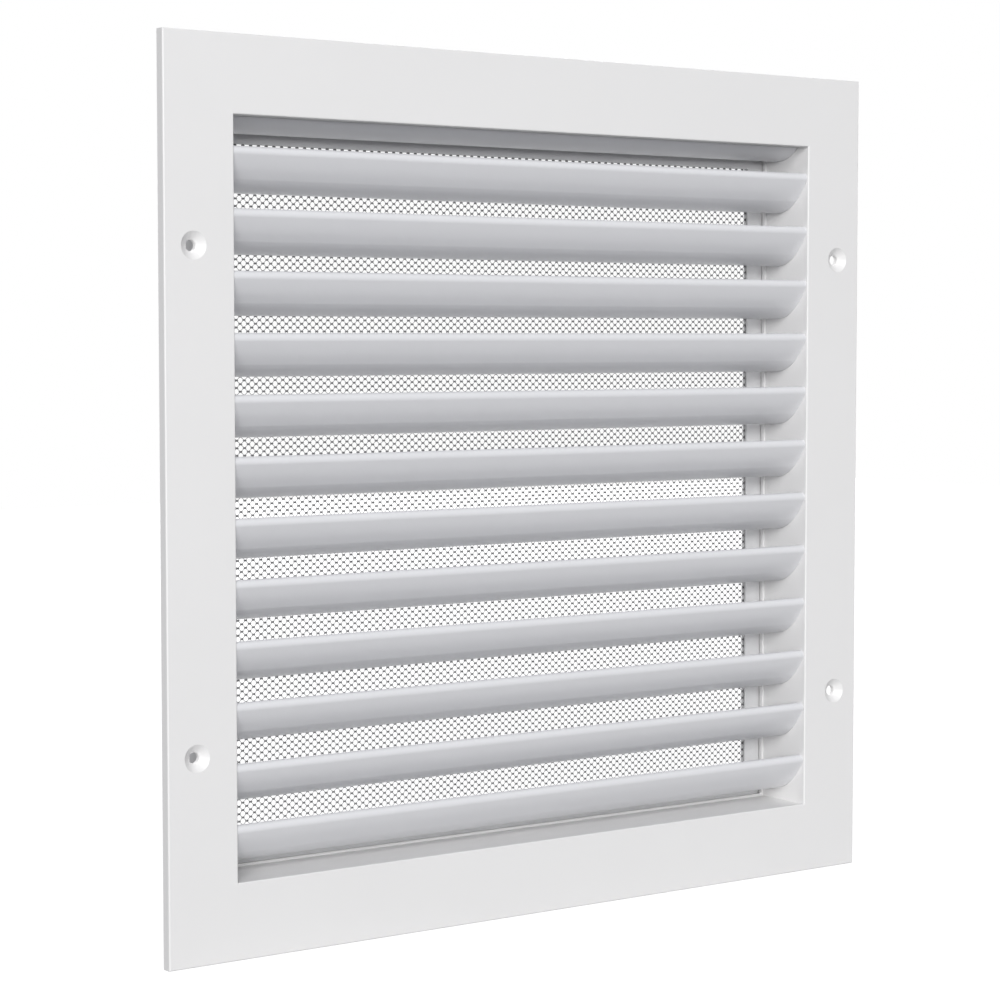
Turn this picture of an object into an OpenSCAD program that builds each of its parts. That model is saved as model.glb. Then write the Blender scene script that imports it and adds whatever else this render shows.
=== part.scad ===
// Square wall vent grille with fixed curved blades and a screen behind them.
// X is across, Z is up and Y runs from the room (-Y) into the wall (+Y).
// The origin is the centre of the four screw holes on the wall plane, where
// the return lip behind the flange meets the wall.

/* [Face frame] */
// Width of the flange, edge to edge
outer_w = 356; // [300:1:460]
// Height of the flange, edge to edge
outer_h = 356; // [300:1:460]
// Width of the flat flange from its edge to the opening
flange_w = 30.5; // [26:0.5:45]
// Depth of the flange from its face back to the wall
flange_depth = 4.5; // [3.5:0.1:7]
// Thickness of the flange face
web_t = 2; // [1.5:0.1:3]
// Thickness of the return lip round the outer edge
return_t = 1.8; // [1.2:0.1:3]
// Thickness of the neck wall that goes into the duct
neck_t = 1.8; // [1.2:0.1:3]
// Radius of the two front edges of the flange
edge_r = 0.6; // [0.3:0.1:1.4]

/* [Ribs inside the neck] */
// Distance from the neck's rear edge to the front of the stop rib
stop_rib_back = 6.8; // [6:0.1:9]
// Thickness of the stop rib in front of the screen
stop_rib_t = 1.4; // [0.8:0.1:2]
// How far the stop rib stands in from the neck wall
stop_rib_h = 1; // [0.6:0.1:2]
// Thickness of the rib that holds the screen from behind
rear_rib_t = 1.2; // [0.8:0.1:2]
// How far the rear rib stands in from the neck wall
rear_rib_h = 1.6; // [0.8:0.1:2.5]

/* [Screw holes] */
// Distance from the side edge of the flange to a screw hole
hole_edge = 12.7; // [11:0.1:15]
// Distance from the top or bottom edge of the flange to a screw hole
hole_end = 80.5; // [66:0.5:110]
// Diameter of the screw hole
hole_d = 4.5; // [3.5:0.1:5.5]
// Diameter of the pressed recess for the screw head, at the face
sink_d = 11; // [9:0.1:12.5]
// Depth of the cone of that recess
sink_depth = 2.5; // [1.5:0.1:3]
// Diameter of the bulge behind the recess, at the face
bulge_d = 14; // [12.6:0.1:15]
// Diameter of the bulge where it meets the wall
bulge_rear_d = 8; // [6.6:0.1:9]

/* [Corner keys] */
// Width of a leg of the flat corner key
key_w = 11; // [8:0.1:13]
// Thickness of the corner key
key_t = 1.5; // [1:0.1:2]
// Length of a leg of the corner key, from its outer corner
key_leg = 44; // [30:1:60]
// Distance from the flange edge to the key channel
key_edge = 7.4; // [5:0.1:9]
// Thickness of the two ribs that make the key channel
key_rib_t = 1.2; // [0.8:0.1:1.6]
// How far the two ribs of the key channel stop short of the wall
key_rib_back = 0.7; // [0.3:0.1:1.2]
// Side clearance of the key in its channel
key_gap = 0.1; // [0.05:0.05:0.3]

/* [Blades] */
// Radius of the round nose along the front of a blade
nose_r = 2.1; // [1.6:0.1:2.6]
// Thickness of the curved part of a blade
blade_t = 1.4; // [1:0.1:2]
// Radius of the upper curve of a blade, on its front
blade_r = 41; // [34:0.5:50]
// Radius of the trough that the blade ends in, on its underside
trough_r = 17.2; // [14:0.1:20.5]
// Slope of the upper curve where it leaves the nose, in degrees
slope_top = 60.3; // [54:0.1:66]
// Slope where the upper curve turns into the trough, in degrees
slope_turn = 44; // [40:0.5:48]
// Slope at which the trough rises again at the rear edge, in degrees
tail_rise = 17.5; // [10:0.5:25]
// Radius of the bead along the rear edge of a blade
tail_r = 0.9; // [0.7:0.1:1.3]
// How far the noses stand back from the face
blade_setback = 0.65; // [0.3:0.05:3]
// Gap from the top of the opening to the first full blade
head_gap = 11.7; // [10:0.1:15]
// Gap from the lowest blade to the bottom of the opening
foot_gap = 5; // [3:0.1:10]
// How far the cut blade hangs below the top of the opening
top_blade_drop = 5.7; // [5.2:0.1:8]
// Gap at each end of a blade and over the cut blade
blade_end_gap = 0.1; // [0.05:0.05:0.4]
// Gap from the rear edge of the blades to the stop rib
rib_clear = 2; // [1:0.1:6]

/* [Blade screws] */
// Bore of the screw port that runs along the back of a blade
port_bore = 2.6; // [2.2:0.1:3]
// Wall of the screw port
port_wall = 0.8; // [0.6:0.1:1]
// Slope of the blade at which the screw port sits, in degrees
port_slope = 6; // [2:0.5:12]
// Width of the open mouth of the screw port
port_mouth = 1.2; // [0.8:0.1:1.6]
// Side clearance of a blade screw in its port
screw_gap = 0.1; // [0.05:0.05:0.3]
// Length of a blade screw under its head
screw_len = 12; // [8:1:20]
// Diameter of a blade screw's head
head_d = 5.4; // [4.4:0.1:6]
// Height of a blade screw's head
head_h = 1.6; // [1:0.1:2.2]

/* [Screen] */
// Width of the folded strip round the screen
strip_w = 8.4; // [7:0.1:14]
// Thickness of the folded strip
strip_t = 2.6; // [2.2:0.1:3.4]
// Metal thickness of the folded strip
strip_wall = 0.8; // [0.5:0.1:0.9]
// Gap from the strip to the neck wall
strip_gap = 0.3; // [0.1:0.05:0.6]
// Gap from the strip to the rear rib
strip_rear_gap = 0.1; // [0.05:0.05:0.3]
// Thickness of the screen sheet
mesh_t = 0.9; // [0.5:0.1:0.9]
// How far the screen's edge stays off the bottom of the strip
mesh_edge_gap = 0.3; // [0.1:0.1:1]
// Sideways width of a bar between two diamonds of the coarse screen pattern
bar_w = 2.2; // [1:0.1:3]

/* [Hidden] */
$fn = 64;
fine_fn = 256;
blade_count = 12;
cell_cols = 7;
cell_rows = 9;
over = 1;
half_w = outer_w / 2;
half_h = outer_h / 2;
open_w = half_w - flange_w;
open_h = half_h - flange_w;
arc_y = nose_r + (blade_r - nose_r) * sin(slope_top);
arc_z = (blade_r - nose_r) * cos(slope_top) - nose_r;
trough_y = arc_y - (blade_r - trough_r) * sin(slope_turn);
trough_z = arc_z - (blade_r - trough_r) * cos(slope_turn);
tail_y = trough_y + (trough_r - tail_r) * sin(tail_rise);
tail_z = trough_z - (trough_r - tail_r) * cos(tail_rise);
blade_h = trough_r - trough_z;
blade_depth = tail_y + tail_r;
blade_len = 2 * (open_w - blade_end_gap);
pitch = (2 * open_h - head_gap - foot_gap - blade_h) / (blade_count - 1);
port_r = port_bore / 2 + port_wall;
screw_d = port_bore - 2 * screw_gap;
port_arc = trough_r - blade_t - port_r + port_wall / 4;
port_y = trough_y - port_arc * sin(port_slope);
port_z = trough_z - port_arc * cos(port_slope);
top_nose_z = open_h - top_blade_drop + blade_h;
neck_depth = blade_setback + blade_depth + rib_clear + stop_rib_back;
face_y = -flange_depth;
rear_y = face_y + neck_depth;
nose_y = face_y + blade_setback;
rib_reach = max(stop_rib_h, rear_rib_h);
hole_x = half_w - hole_edge;
hole_z = half_h - hole_end;
strip_out_w = open_w - strip_gap;
strip_out_h = open_h - strip_gap;
strip_y = rear_y - rear_rib_t - strip_rear_gap - strip_t;
mesh_w = strip_out_w - strip_wall - mesh_edge_gap;
mesh_h = strip_out_h - strip_wall - mesh_edge_gap;
cell_w = 2 * (strip_out_w - strip_w) / cell_cols;
cell_h = 2 * (strip_out_h - strip_w) / cell_rows;

// Takes the sharp corner off a profile at the origin, with the metal
// towards +x and +y.
module corner_cut(r) {
    difference() {
        translate([-over, -over]) square([over + r, over + r]);
        translate([r, r]) circle(r = r);
    }
}

// Section of the frame lengths: x runs in from the outer edge, y is depth.
module frame_section() {
    difference() {
        union() {
            translate([0, face_y]) square([flange_w, web_t]);
            translate([0, face_y]) square([return_t, flange_depth]);
            translate([flange_w - neck_t, face_y]) square([neck_t, neck_depth]);
            translate([flange_w - neck_t, rear_y - stop_rib_back])
                square([neck_t + stop_rib_h, stop_rib_t]);
            translate([flange_w - neck_t, rear_y - rear_rib_t])
                square([neck_t + rear_rib_h, rear_rib_t]);
            translate([key_edge - key_rib_t, face_y])
                square([key_rib_t, flange_depth - key_rib_back]);
            translate([key_edge + key_w + 2 * key_gap, face_y])
                square([key_rib_t, flange_depth - key_rib_back]);
        }
        translate([0, face_y]) corner_cut(edge_r);
        translate([flange_w, face_y]) mirror([1, 0]) corner_cut(edge_r);
    }
}

// A mitred length of a section on the bottom side of a frame. half is half
// the length along X, drop is how far below the origin its outer edge lies
// and reach is how far in the section goes.
module mitred_length(half, drop, reach) {
    intersection() {
        translate([-half, 0, -drop])
            rotate([90, 0, 90])
            linear_extrude(height = 2 * half)
            mirror([1, 0]) rotate(90) children();
        rotate([90, 0, 0])
            translate([0, 0, -rear_y - over])
            linear_extrude(height = rear_y + flange_depth + 2 * over)
            polygon([[-half, -drop], [half, -drop],
                     [half - reach, reach - drop], [reach - half, reach - drop]]);
    }
}

// A length of the frame lying along the bottom of the opening.
module frame_length(half, drop) {
    mitred_length(half, drop, flange_w + rib_reach) frame_section();
}

module frame_top() {
    color("white") mirror([0, 0, 1]) frame_length(half_w, half_h);
}

module frame_bottom() {
    color("white") frame_length(half_w, half_h);
}

// Metal pushed back behind a screw recess, on the Y axis.
module bulge() {
    rotate([90, 0, 0])
        cylinder(h = flange_depth, d1 = bulge_rear_d, d2 = bulge_d);
}

// Cutter for a screw hole and its cone, on the Y axis.
module screw_recess() {
    rotate([90, 0, 0]) {
        translate([0, 0, -over])
            cylinder(h = flange_depth + 2 * over, d = hole_d);
        translate([0, 0, flange_depth - sink_depth])
            cylinder(h = sink_depth, d1 = hole_d, d2 = sink_d);
    }
}

// Z of the top of full blade number i, counted from 1 at the top.
function nose_z(i) = open_h - head_gap - (i - 1) * pitch;

// Z of the screw port of a blade; number 0 is the cut blade at the top.
function screw_z(i) = port_z + (i == 0 ? top_nose_z : nose_z(i));

// The right side length, with its screw holes and blade screw holes.
module frame_side() {
    difference() {
        union() {
            rotate([0, -90, 0]) frame_length(half_h, half_w);
            for (side = [-1, 1])
                translate([hole_x, 0, side * hole_z]) bulge();
        }
        for (side = [-1, 1])
            translate([hole_x, 0, side * hole_z]) screw_recess();
        for (i = [0:blade_count])
            translate([open_w - over, nose_y + port_y, screw_z(i)])
                rotate([0, 90, 0])
                cylinder(h = neck_t + 2 * over, d = port_bore);
    }
}

module frame_right() {
    color("white") frame_side();
}

module frame_left() {
    color("white") mirror([1, 0, 0]) frame_side();
}

// Flat L-shaped key that joins two lengths at the bottom left corner.
module corner_key() {
    edge = key_edge + key_gap;
    color("lightgray")
        translate([-half_w, face_y + web_t, -half_h])
        rotate([90, 0, 0])
        translate([0, 0, -key_t])
        linear_extrude(height = key_t) {
            translate([edge, edge]) square([key_leg, key_w]);
            translate([edge, edge]) square([key_w, key_leg]);
        }
}

module corner_key_bottom_left() {
    corner_key();
}

module corner_key_bottom_right() {
    mirror([1, 0, 0]) corner_key();
}

module corner_key_top_left() {
    mirror([0, 0, 1]) corner_key();
}

module corner_key_top_right() {
    mirror([0, 0, 1]) mirror([1, 0, 0]) corner_key();
}

// Part of a round wall about a centre, between two slopes of its outer face.
module curved_web(centre_y, centre_z, r, slope_a, slope_b) {
    reach = 2 * r;
    translate([centre_y, centre_z]) intersection() {
        difference() {
            circle(r = r, $fn = fine_fn);
            circle(r = r - blade_t, $fn = fine_fn);
        }
        polygon([[0, 0],
                 [-reach * sin(slope_a), -reach * cos(slope_a)],
                 [-reach * sin(slope_b), -reach * cos(slope_b)]]);
    }
}

// Section of a blade: x is depth from the front of the nose, y is height
// from the top of the nose.
module blade_section() {
    translate([nose_r, -nose_r]) circle(r = nose_r);
    curved_web(arc_y, arc_z, blade_r, slope_top, slope_turn);
    curved_web(trough_y, trough_z, trough_r, slope_turn, -tail_rise);
    translate([tail_y, tail_z]) circle(r = tail_r);
    translate([port_y, port_z]) difference() {
        circle(r = port_r);
        circle(d = port_bore);
        rotate(90 - port_slope) translate([0, -port_mouth / 2])
            square([port_r + over, port_mouth]);
    }
}

// A blade with the top of its nose at the given height.
module blade_at(z) {
    translate([-blade_len / 2, nose_y, z])
        rotate([90, 0, 90])
        linear_extrude(height = blade_len) blade_section();
}

module blade(i) {
    color("white") blade_at(nose_z(i));
}

// The lower part of a blade, cut off under the top of the neck.
module top_blade() {
    color("white") intersection() {
        blade_at(top_nose_z);
        translate([-open_w, face_y, -open_h])
            cube([2 * open_w, neck_depth, 2 * open_h - blade_end_gap]);
    }
}

// The screws that go through the right side length into the blade ports.
module side_screws() {
    for (i = [0:blade_count])
        translate([open_w + neck_t, nose_y + port_y, screw_z(i)])
            rotate([0, 90, 0]) {
                translate([0, 0, -screw_len]) cylinder(h = screw_len + head_h / 2, d = screw_d);
                cylinder(h = head_h, d = head_d);
            }
}

module blade_screws_right() {
    color("silver") side_screws();
}

module blade_screws_left() {
    color("silver") mirror([1, 0, 0]) side_screws();
}

// Section of the folded strip: x runs in from its outer edge, y is depth.
module strip_section() {
    translate([0, strip_y]) difference() {
        square([strip_w, strip_t]);
        translate([strip_wall, strip_wall])
            square([strip_w, strip_t - 2 * strip_wall]);
    }
}

// A length of the folded strip lying along the bottom of the screen.
module strip_length(half, drop) {
    mitred_length(half, drop, strip_w) strip_section();
}

module screen_strip_top() {
    color("white") mirror([0, 0, 1]) strip_length(strip_out_w, strip_out_h);
}

module screen_strip_bottom() {
    color("white") strip_length(strip_out_w, strip_out_h);
}

module screen_strip_right() {
    color("white") rotate([0, -90, 0]) strip_length(strip_out_h, strip_out_w);
}

module screen_strip_left() {
    color("white") mirror([1, 0, 0]) rotate([0, -90, 0])
        strip_length(strip_out_h, strip_out_w);
}

// One diamond gap of the screen, centred on the origin.
module diamond() {
    half_gap_w = cell_w / 2 - bar_w;
    half_gap_h = cell_h / 2 - bar_w;
    polygon([[half_gap_w, 0], [0, half_gap_h], [-half_gap_w, 0], [0, -half_gap_h]]);
}

// Rows and columns of diamonds, spread evenly about the origin.
module diamonds(cols, rows) {
    for (i = [0:cols - 1])
        for (j = [0:rows - 1])
            translate([(i - (cols - 1) / 2) * cell_w, (j - (rows - 1) / 2) * cell_h])
                diamond();
}

module insect_screen() {
    color("gray")
        translate([0, strip_y + strip_t / 2 + mesh_t / 2, 0])
        rotate([90, 0, 0])
        linear_extrude(height = mesh_t)
        difference() {
            translate([-mesh_w, -mesh_h]) square([2 * mesh_w, 2 * mesh_h]);
            diamonds(cell_cols, cell_rows);
            diamonds(cell_cols - 1, cell_rows - 1);
        }
}

frame_top();
frame_bottom();
frame_left();
frame_right();
corner_key_top_left();
corner_key_top_right();
corner_key_bottom_left();
corner_key_bottom_right();
top_blade();
blade(1);  // blade_01
blade(2);  // blade_02
blade(3);  // blade_03
blade(4);  // blade_04
blade(5);  // blade_05
blade(6);  // blade_06
blade(7);  // blade_07
blade(8);  // blade_08
blade(9);  // blade_09
blade(10);  // blade_10
blade(11);  // blade_11
blade(12);  // blade_12
blade_screws_left();
blade_screws_right();
screen_strip_top();
screen_strip_bottom();
screen_strip_left();
screen_strip_right();
insect_screen();
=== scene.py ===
import math

import bpy
import numpy as np
from mathutils import Euler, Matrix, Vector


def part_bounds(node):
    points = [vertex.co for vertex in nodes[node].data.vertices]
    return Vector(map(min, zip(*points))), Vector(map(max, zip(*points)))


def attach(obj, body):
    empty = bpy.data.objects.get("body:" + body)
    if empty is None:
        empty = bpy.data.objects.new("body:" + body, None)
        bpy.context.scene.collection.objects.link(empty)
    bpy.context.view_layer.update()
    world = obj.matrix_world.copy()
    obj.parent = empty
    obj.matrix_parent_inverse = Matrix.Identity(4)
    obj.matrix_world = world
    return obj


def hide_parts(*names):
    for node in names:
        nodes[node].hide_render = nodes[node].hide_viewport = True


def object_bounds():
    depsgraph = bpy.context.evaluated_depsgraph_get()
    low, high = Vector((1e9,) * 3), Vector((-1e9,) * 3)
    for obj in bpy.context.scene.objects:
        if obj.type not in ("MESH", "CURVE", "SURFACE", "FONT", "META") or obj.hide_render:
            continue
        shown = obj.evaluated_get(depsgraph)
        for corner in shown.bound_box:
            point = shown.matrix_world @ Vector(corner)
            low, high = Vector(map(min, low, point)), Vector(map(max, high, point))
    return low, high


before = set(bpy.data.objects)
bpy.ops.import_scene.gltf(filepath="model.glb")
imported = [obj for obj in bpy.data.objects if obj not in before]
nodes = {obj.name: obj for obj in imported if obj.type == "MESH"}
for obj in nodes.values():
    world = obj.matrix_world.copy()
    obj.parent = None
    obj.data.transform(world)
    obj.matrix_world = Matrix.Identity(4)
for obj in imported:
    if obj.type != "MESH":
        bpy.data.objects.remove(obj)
part_box = [list(corner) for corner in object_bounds()]


# Camera. It stands to the left of the grille and a little above its middle,
# where the photograph was taken from, and looks slightly down.
CAMERA_PLACE = (-0.6627, -0.8818, 0.0630)
CAMERA_TURN = math.radians(36.12)
CAMERA_DIP = math.radians(3.52)
CAMERA_LENS = 95.4

camera_data = bpy.data.cameras.new("camera")
camera_data.lens = CAMERA_LENS
camera_data.sensor_width = 36.0
camera_data.clip_start = 0.01
camera = bpy.data.objects.new("camera", camera_data)
camera.location = CAMERA_PLACE
camera.rotation_euler = Euler((math.pi / 2 - CAMERA_DIP, 0.0, -CAMERA_TURN))
bpy.context.scene.collection.objects.link(camera)
bpy.context.scene.camera = camera


# Studio. A white room lit by one large soft lamp at the left in front,
# a weaker one behind it, and the room's own even light.
view = bpy.context.scene.view_settings
view.view_transform = "Standard"

ROOM_LIGHT = 0.15
KEY_POWER = 590.0
BACK_POWER = 100.0


def seen_factor(tree):
    """1 for camera, mirror and see-through rays, 0 for rays that carry light."""
    path = tree.nodes.new("ShaderNodeLightPath")
    first = tree.nodes.new("ShaderNodeMath")
    first.operation = "MAXIMUM"
    both = tree.nodes.new("ShaderNodeMath")
    both.operation = "MAXIMUM"
    tree.links.new(path.outputs["Is Camera Ray"], first.inputs[0])
    tree.links.new(path.outputs["Is Glossy Ray"], first.inputs[1])
    tree.links.new(first.outputs[0], both.inputs[0])
    tree.links.new(path.outputs["Is Transmission Ray"], both.inputs[1])
    return both.outputs[0]


def make_room():
    """World: plain white where it is seen, a dimmer even light elsewhere."""
    world = bpy.data.worlds.new("room")
    bpy.context.scene.world = world
    world.use_nodes = True
    tree = world.node_tree
    tree.nodes.clear()
    out = tree.nodes.new("ShaderNodeOutputWorld")
    mix = tree.nodes.new("ShaderNodeMixShader")
    lit = tree.nodes.new("ShaderNodeBackground")
    lit.inputs["Strength"].default_value = ROOM_LIGHT
    white = tree.nodes.new("ShaderNodeBackground")
    white.inputs["Color"].default_value = (1.0, 1.0, 1.0, 1.0)
    lit.inputs["Color"].default_value = (0.86, 0.88, 1.0, 1.0)
    white.inputs["Strength"].default_value = 1.0
    tree.links.new(seen_factor(tree), mix.inputs[0])
    tree.links.new(lit.outputs[0], mix.inputs[1])
    tree.links.new(white.outputs[0], mix.inputs[2])
    tree.links.new(mix.outputs[0], out.inputs[0])


def soft_lamp(name, place, target, size, power):
    """A square area lamp at place, turned to face target."""
    data = bpy.data.lights.new(name, "AREA")
    data.shape = "SQUARE"
    data.size = size
    data.energy = power
    lamp = bpy.data.objects.new(name, data)
    lamp.location = place
    aim = np.array(target) - np.array(place)
    flat = math.hypot(aim[0], aim[1])
    lamp.rotation_euler = Euler(
        (math.atan2(flat, -aim[2]), 0.0, math.atan2(-aim[0], aim[1]))
    )
    bpy.context.scene.collection.objects.link(lamp)


make_room()
soft_lamp("key_lamp", (-3.9, -6.0, 2.4), (0.0, 0.0, 0.0), 4.6, KEY_POWER)
soft_lamp("back_lamp", (1.4, 3.2, 1.0), (0.0, 0.0, 0.0), 3.6, BACK_POWER)


# Floor. A wide pale sheet under the grille's lower edge; it is seen as white
# and keeps the soft shadow.
FLOOR_REACH = 2.5
FLOOR_GREY = 0.42
FLOOR_GLOW = 0.85


def make_floor(height):
    """A flat square floor at the given height."""
    corners = [(-FLOOR_REACH, -FLOOR_REACH, height), (FLOOR_REACH, -FLOOR_REACH, height),
               (FLOOR_REACH, FLOOR_REACH, height), (-FLOOR_REACH, FLOOR_REACH, height)]
    mesh = bpy.data.meshes.new("floor")
    mesh.from_pydata(corners, [], [(0, 1, 2, 3)])
    floor = bpy.data.objects.new("floor", mesh)
    bpy.context.scene.collection.objects.link(floor)
    material = bpy.data.materials.new("pale_floor")
    material.use_nodes = True
    tree = material.node_tree
    tree.nodes.clear()
    out = tree.nodes.new("ShaderNodeOutputMaterial")
    matt = tree.nodes.new("ShaderNodeBsdfDiffuse")
    matt.inputs["Color"].default_value = (FLOOR_GREY, FLOOR_GREY, FLOOR_GREY, 1.0)
    glow = tree.nodes.new("ShaderNodeEmission")
    strength = tree.nodes.new("ShaderNodeMath")
    strength.operation = "MULTIPLY"
    strength.inputs[1].default_value = FLOOR_GLOW
    total = tree.nodes.new("ShaderNodeAddShader")
    tree.links.new(seen_factor(tree), strength.inputs[0])
    tree.links.new(strength.outputs[0], glow.inputs["Strength"])
    tree.links.new(matt.outputs[0], total.inputs[0])
    tree.links.new(glow.outputs[0], total.inputs[1])
    tree.links.new(total.outputs[0], out.inputs[0])
    mesh.materials.append(material)


make_floor(part_box[0][2])


# Face frame. Four mitred aluminium extrusions, joined by keys behind the
# flange and then powder-coated white, so that the coat closes the joints.
FRAME_WHITE = (0.820, 0.815, 0.810)
COAT_ROUGHNESS = 0.42
COAT_PEEL = 1400.0
COAT_PEEL_DEPTH = 0.06


def powder_coat(name, colour, roughness=COAT_ROUGHNESS):
    """Baked powder: a plain colour with faint clouding and a fine orange peel."""
    material = bpy.data.materials.new(name)
    material.use_nodes = True
    tree = material.node_tree
    shader = tree.nodes["Principled BSDF"]
    shader.inputs["IOR"].default_value = 1.5
    place = tree.nodes.new("ShaderNodeTexCoord")
    cloud = tree.nodes.new("ShaderNodeTexNoise")
    cloud.inputs["Scale"].default_value = 14.0
    cloud.inputs["Detail"].default_value = 3.0
    shade = tree.nodes.new("ShaderNodeMapRange")
    shade.inputs["To Min"].default_value = 0.985
    shade.inputs["To Max"].default_value = 1.015
    tint = tree.nodes.new("ShaderNodeVectorMath")
    tint.operation = "SCALE"
    tint.inputs[0].default_value = colour
    rough = tree.nodes.new("ShaderNodeMapRange")
    rough.inputs["To Min"].default_value = roughness - 0.05
    rough.inputs["To Max"].default_value = roughness + 0.05
    peel = tree.nodes.new("ShaderNodeTexNoise")
    peel.inputs["Scale"].default_value = COAT_PEEL
    peel.inputs["Detail"].default_value = 1.0
    bump = tree.nodes.new("ShaderNodeBump")
    bump.inputs["Strength"].default_value = COAT_PEEL_DEPTH
    bump.inputs["Distance"].default_value = 0.0002
    tree.links.new(place.outputs["Object"], cloud.inputs["Vector"])
    tree.links.new(place.outputs["Object"], peel.inputs["Vector"])
    tree.links.new(cloud.outputs[0], shade.inputs["Value"])
    tree.links.new(cloud.outputs[0], rough.inputs["Value"])
    tree.links.new(shade.outputs["Result"], tint.inputs["Scale"])
    tree.links.new(tint.outputs["Vector"], shader.inputs["Base Color"])
    tree.links.new(rough.outputs["Result"], shader.inputs["Roughness"])
    tree.links.new(peel.outputs[0], bump.inputs["Height"])
    tree.links.new(bump.outputs["Normal"], shader.inputs["Normal"])
    return material


def paint(names, material):
    """Gives each named CAD node the one material."""
    for name in names:
        slots = nodes[name].data.materials
        slots.clear()
        slots.append(material)


sides = ("top", "bottom", "left", "right")
paint(["frame_" + side for side in sides], powder_coat("frame_coat", FRAME_WHITE))


# Blades. Thirteen lengths of one curved extrusion with a round nose and a
# trough, coated like the frame before they are screwed in; the top one is cut.
# Their colour is set darker and bluer than the frame's white, as painted shade on the blade fronts.
SHADED_BLADE_WHITE = (0.770, 0.773, 0.792)

blades = ["top_blade"] + [name for name in sorted(nodes) if name.startswith("blade_") and name[-1].isdigit()]
paint(blades, powder_coat("blade_coat", SHADED_BLADE_WHITE, 0.30))


# Screen strips. Thin coated strip folded over the edge of the screen, 8 mm
# wide, mitred at the corners and trapped between two ribs of the frame.
STRIP_WHITE = (0.760, 0.760, 0.765)

paint(["screen_strip_" + side for side in sides], powder_coat("strip_coat", STRIP_WHITE, 0.5))


# Corner keys. Plain flat L-shaped keys punched from strip, left in mill
# finish; they lie in the channel behind the flange.
KEY_GREY = (0.36, 0.36, 0.37)


def bare_metal(name, colour, roughness, grain):
    """Uncoated metal with fine streaks along Z; grain is streaks per metre."""
    material = bpy.data.materials.new(name)
    material.use_nodes = True
    tree = material.node_tree
    shader = tree.nodes["Principled BSDF"]
    shader.inputs["Metallic"].default_value = 1.0
    shader.inputs["Base Color"].default_value = (*colour, 1.0)
    place = tree.nodes.new("ShaderNodeTexCoord")
    stretch = tree.nodes.new("ShaderNodeMapping")
    stretch.inputs["Scale"].default_value = (grain, grain, grain * 0.05)
    streak = tree.nodes.new("ShaderNodeTexNoise")
    streak.inputs["Scale"].default_value = 1.0
    rough = tree.nodes.new("ShaderNodeMapRange")
    rough.inputs["To Min"].default_value = roughness - 0.08
    rough.inputs["To Max"].default_value = roughness + 0.08
    tree.links.new(place.outputs["Object"], stretch.inputs["Vector"])
    tree.links.new(stretch.outputs["Vector"], streak.inputs["Vector"])
    tree.links.new(streak.outputs[0], rough.inputs["Value"])
    tree.links.new(rough.outputs["Result"], shader.inputs["Roughness"])
    return material


paint([name for name in nodes if name.startswith("corner_key")],
      bare_metal("key_metal", KEY_GREY, 0.50, 1500.0))


# Blade screws. Thirteen zinc-plated pan-head screws a side, driven through
# the neck wall into the port behind each blade, with a cross recess outside.
ZINC_GREY = (0.52, 0.52, 0.54)
HEAD_RADIUS = 0.0027
HEAD_HEIGHT = 0.0016
HEAD_RINGS = ((0.20, 0.0), (0.96, 0.0), (1.0, 0.06), (1.0, 0.48), (0.96, 0.68), (0.87, 0.84), (0.74, 0.94), (0.58, 1.0))
HEAD_SEGMENTS = 48
RECESS_REACH = 0.0013
RECESS_HALF_WIDTH = 0.00034
RECESS_DEPTH = 0.0010
RECESS_TAPER = 0.70
SHANK_LENGTH = 0.012
SHANK_ROOT = 0.0009
SHANK_CREST = 0.0012
SHANK_TIP = 0.0016
THREAD_PITCH = 0.0009
THREAD_RINGS = 8
SHANK_SEGMENTS = 12


def close_rings(rings):
    """Faces of a shell through equal rings of points, with a point at each end.

    Rings run from the inner end to the outer one, each turning the same way.
    """
    count, segments = rings.shape[:2]
    points = np.concatenate([rings.reshape(-1, 3), [rings[0].mean(axis=0)], [rings[-1].mean(axis=0)]])
    j = np.arange(segments)
    after = (j + 1) % segments
    row = np.arange(count - 1)[:, None] * segments
    walls = np.stack([row + j, row + after, row + segments + after, row + segments + j], axis=-1)
    last = (count - 1) * segments
    inner = np.stack([after, j, np.full(segments, count * segments)], axis=1)
    outer = np.stack([last + j, last + after, np.full(segments, count * segments + 1)], axis=1)
    return points, walls.reshape(-1, 4).tolist() + inner.tolist() + outer.tolist()


def head_rings():
    """Rings of a pan head along +X, then the lip and the floor of its recess.

    The recess's outline is a plus: across an arm its radius is the arm's
    reach over the cosine, and along it the half width over the sine.
    """
    turn = np.arange(HEAD_SEGMENTS) * 2 * math.pi / HEAD_SEGMENTS
    rings = [(np.full(HEAD_SEGMENTS, HEAD_RADIUS * wide), HEAD_HEIGHT * high) for wide, high in HEAD_RINGS]
    cosine, sine = np.abs(np.cos(turn)), np.abs(np.sin(turn))
    more, less = np.maximum(cosine, sine), np.minimum(cosine, sine)
    plus = np.minimum(RECESS_REACH / more, RECESS_HALF_WIDTH / np.maximum(less, 0.01))
    rings.append((plus, HEAD_HEIGHT))
    rings.append((plus * RECESS_TAPER, HEAD_HEIGHT - RECESS_DEPTH))
    return np.stack([np.stack([np.full(HEAD_SEGMENTS, high), wide * np.cos(turn), wide * np.sin(turn)], axis=1)
                     for wide, high in rings])


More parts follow.
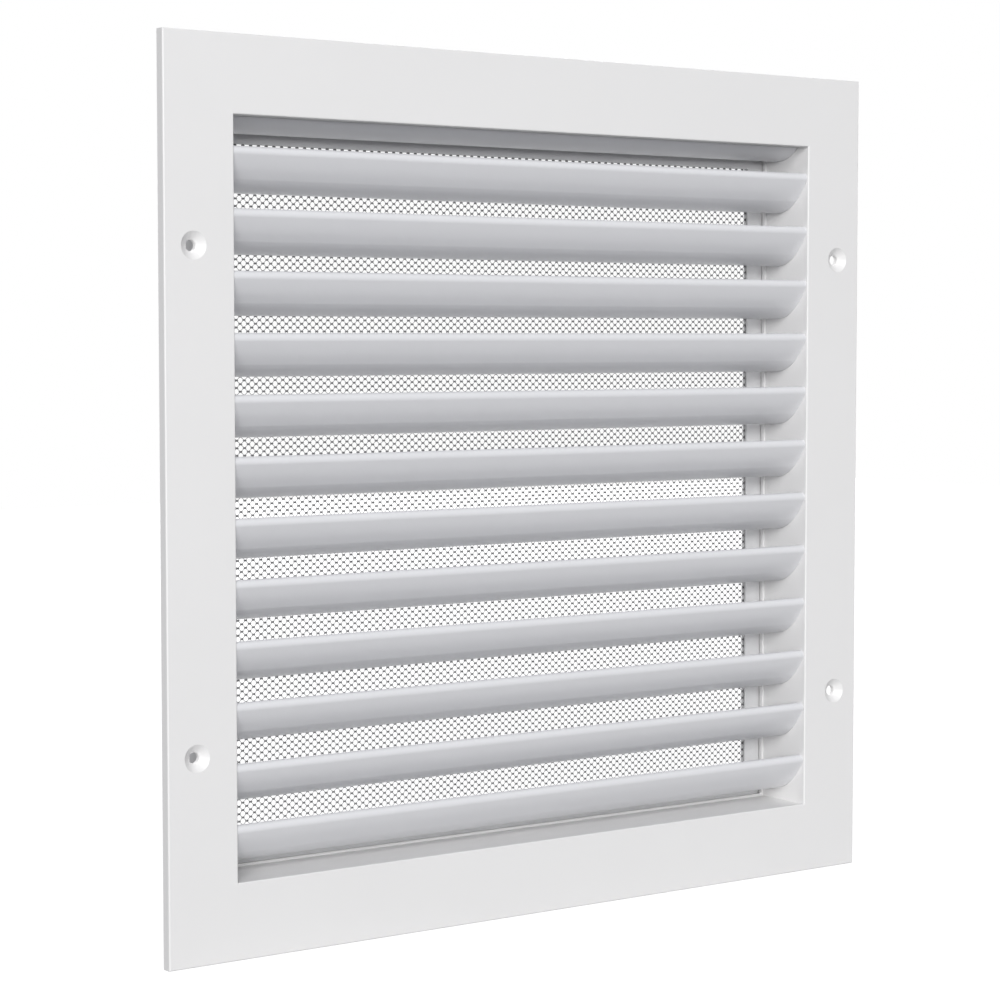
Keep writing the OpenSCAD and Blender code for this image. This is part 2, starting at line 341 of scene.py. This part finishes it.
def shank_rings():
    """Rings of a threaded shank along X, from its tip up into the head.

    The radius rises and falls once a pitch, in step with the turn, and runs
    out evenly over the tip.
    """
    steps = int(SHANK_LENGTH / THREAD_PITCH * THREAD_RINGS)
    along = np.linspace(-SHANK_LENGTH, HEAD_HEIGHT * 0.2, steps)[:, None]
    turn = np.arange(SHANK_SEGMENTS)[None] * 2 * math.pi / SHANK_SEGMENTS
    phase = (along / THREAD_PITCH - turn / (2 * math.pi)) % 1.0
    ridge = np.clip(1.6 - 3.2 * np.abs(phase - 0.5), 0.0, 1.0)
    run_out = np.clip((along + SHANK_LENGTH) / SHANK_TIP, 0.15, 1.0)
    wide = (SHANK_ROOT + (SHANK_CREST - SHANK_ROOT) * ridge) * run_out
    return np.stack([np.broadcast_to(along, wide.shape), wide * np.cos(turn), wide * np.sin(turn)], axis=-1)


def drive_screws(side, outwards, twist):
    """One mesh of thirteen screws; outwards is the sign of X that heads face."""
    low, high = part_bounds("blade_screws_" + side)
    outer = low[0] if outwards < 0 else high[0]
    head_x = outer - outwards * HEAD_HEIGHT
    y = (low[1] + high[1]) / 2
    lift = low[2] + HEAD_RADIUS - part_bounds("blade_12")[0][2]
    heights = [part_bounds(name)[0][2] + lift for name in blades]
    points, faces = [], []
    for shape in (close_rings(head_rings()), close_rings(shank_rings())):
        for z, angle in zip(heights, twist):
            spin = np.array([[1.0, 0.0, 0.0], [0.0, math.cos(angle), math.sin(angle)],
                             [0.0, -math.sin(angle), math.cos(angle)]])
            placed = shape[0] @ spin * (outwards, outwards, 1.0) + (head_x, y, z)
            start = sum(len(part) for part in points)
            points.append(placed)
            faces += [[start + corner for corner in face] for face in shape[1]]
    mesh = bpy.data.meshes.new("pan_screws_" + side)
    mesh.from_pydata(np.concatenate(points).tolist(), [], faces)
    screws = bpy.data.objects.new("pan_screws_" + side, mesh)
    bpy.context.scene.collection.objects.link(screws)
    return screws


zinc = bare_metal("screw_zinc", ZINC_GREY, 0.38, 2500.0)
random = np.random.default_rng(11)
for side, outwards in (("left", -1.0), ("right", 1.0)):
    screws = drive_screws(side, outwards, random.uniform(0.0, math.pi / 2, len(blades)))
    screws.data.materials.append(zinc)
    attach(screws, "root")
    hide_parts("blade_screws_" + side)


# Screen. Fine diamond mesh of dull aluminium: straight strands that cross
# at flattened knots, wider than they are high, with the edge in the strips.
# The sheet is cut from a roll, so its diamonds don't start at the middle.
CELL_WIDTH = 0.003578
CELL_HEIGHT = 0.002987
SHEET_SHIFT_X = -0.00127
SHEET_SHIFT_Z = -0.00046
STRAND_WIDTH = 0.00023
KNOT_WIDTH = 0.00175
KNOT_HEIGHT = 0.00095
KNOT_DEPTH = 0.00070
SCREEN_GREY = (0.30, 0.30, 0.305)


def strand_ends(half_w, half_h, rise):
    """End points of the straight strands of one slant, clipped to the sheet.

    Strand k runs along z = rise * x + k * CELL_HEIGHT, so that all of them
    cross at the knots; x is limited so that z stays on the sheet.
    """
    reach = half_h + abs(rise) * half_w
    count = int(reach / CELL_HEIGHT)
    offset = np.arange(-count, count + 1) * CELL_HEIGHT + SHEET_SHIFT_Z - rise * SHEET_SHIFT_X
    edge_a = (-half_h - offset) / rise
    edge_b = (half_h - offset) / rise
    low = np.maximum(np.minimum(edge_a, edge_b), -half_w)
    high = np.minimum(np.maximum(edge_a, edge_b), half_w)
    keep = high - low > CELL_WIDTH
    low, high, offset = low[keep], high[keep], offset[keep]
    first = np.stack([low, rise * low + offset], axis=1)
    last = np.stack([high, rise * high + offset], axis=1)
    return first, last


def strands(half_w, half_h, rise, y):
    """Square bars along the strands of one slant, four corners at each end.

    A corner lies half a width away, across the strand or along Y.
    """
    first, last = strand_ends(half_w, half_h, rise)
    across = np.array([-rise, 1.0]) / math.hypot(rise, 1.0)
    half = STRAND_WIDTH / 2
    corner_side = np.array([1.0, 0.0, -1.0, 0.0]) * half
    corner_deep = np.array([0.0, 1.0, 0.0, -1.0]) * half
    ends = np.stack([first, last], axis=1)
    x = ends[:, :, None, 0] + across[0] * corner_side
    z = ends[:, :, None, 1] + across[1] * corner_side
    deep = np.broadcast_to(y + corner_deep, x.shape)
    points = np.stack([x, deep, z], axis=-1).reshape(-1, 3)
    ring = np.arange(4)
    after = (ring + 1) % 4
    sides = np.stack([ring + 4, after + 4, after, ring], axis=1)
    caps = np.array([[0, 1, 2, 3], [7, 6, 5, 4]])
    faces = np.concatenate([sides, caps])
    starts = np.arange(len(first)) * 8
    return points, (faces[None] + starts[:, None, None]).reshape(-1, 4)


def knots(half_w, half_h, y):
    """A flat six-cornered lozenge at each crossing of the strands.

    Crossings lie on whole and on half steps of the cell, rows offset in turn.
    """
    columns = int(half_w / CELL_WIDTH * 2) + 1
    rows = int(half_h / CELL_HEIGHT * 2) + 1
    i, k = np.meshgrid(np.arange(-columns, columns + 1), np.arange(-rows, rows + 1))
    x = i * CELL_WIDTH / 2 + SHEET_SHIFT_X
    z = k * CELL_HEIGHT / 2 + SHEET_SHIFT_Z
    keep = ((i + k) % 2 == 0) & (abs(x) < half_w) & (abs(z) < half_h)
    centre_x, centre_z = x[keep], z[keep]
    turn = np.radians([0.0, 52.0, 128.0, 180.0, 232.0, 308.0])
    rim_x = np.cos(turn) * KNOT_WIDTH / 2
    rim_z = np.sin(turn) * KNOT_HEIGHT / 2
    shape = np.zeros((8, 3))
    shape[:6, 0] = rim_x
    shape[:6, 2] = rim_z
    shape[6, 1] = -KNOT_DEPTH / 2
    shape[7, 1] = KNOT_DEPTH / 2
    centre = np.stack([centre_x, np.full(centre_x.shape, y), centre_z], axis=1)
    points = (centre[:, None] + shape[None]).reshape(-1, 3)
    ring = np.arange(6)
    after = (ring + 1) % 6
    front = np.stack([ring, after, np.full(6, 6)], axis=1)
    back = np.stack([after, ring, np.full(6, 7)], axis=1)
    faces = np.concatenate([front, back])
    starts = np.arange(len(centre)) * 8
    return points, (faces[None] + starts[:, None, None]).reshape(-1, 3)


def make_screen():
    """The whole sheet in one mesh, on the coarse sheet's middle plane."""
    low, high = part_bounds("insect_screen")
    y = (low[1] + high[1]) / 2
    margin = KNOT_WIDTH / 2
    half_w = high[0] - margin
    half_h = high[2] - margin
    rise = CELL_HEIGHT / CELL_WIDTH
    up, up_faces = strands(half_w, half_h, rise, y)
    down, down_faces = strands(half_w, half_h, -rise, y)
    lump, lump_faces = knots(half_w, half_h, y)
    points = np.concatenate([up, down, lump])
    faces = (up_faces.tolist() + (down_faces + len(up)).tolist()
             + (lump_faces + len(up) + len(down)).tolist())
    mesh = bpy.data.meshes.new("screen_mesh")
    mesh.from_pydata(points.tolist(), [], faces)
    mesh.validate()
    screen = bpy.data.objects.new("screen_mesh", mesh)
    bpy.context.scene.collection.objects.link(screen)
    return screen


screen = make_screen()
screen.data.materials.append(bare_metal("screen_metal", SCREEN_GREY, 0.55, 900.0))
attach(screen, "root")
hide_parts("insect_screen")
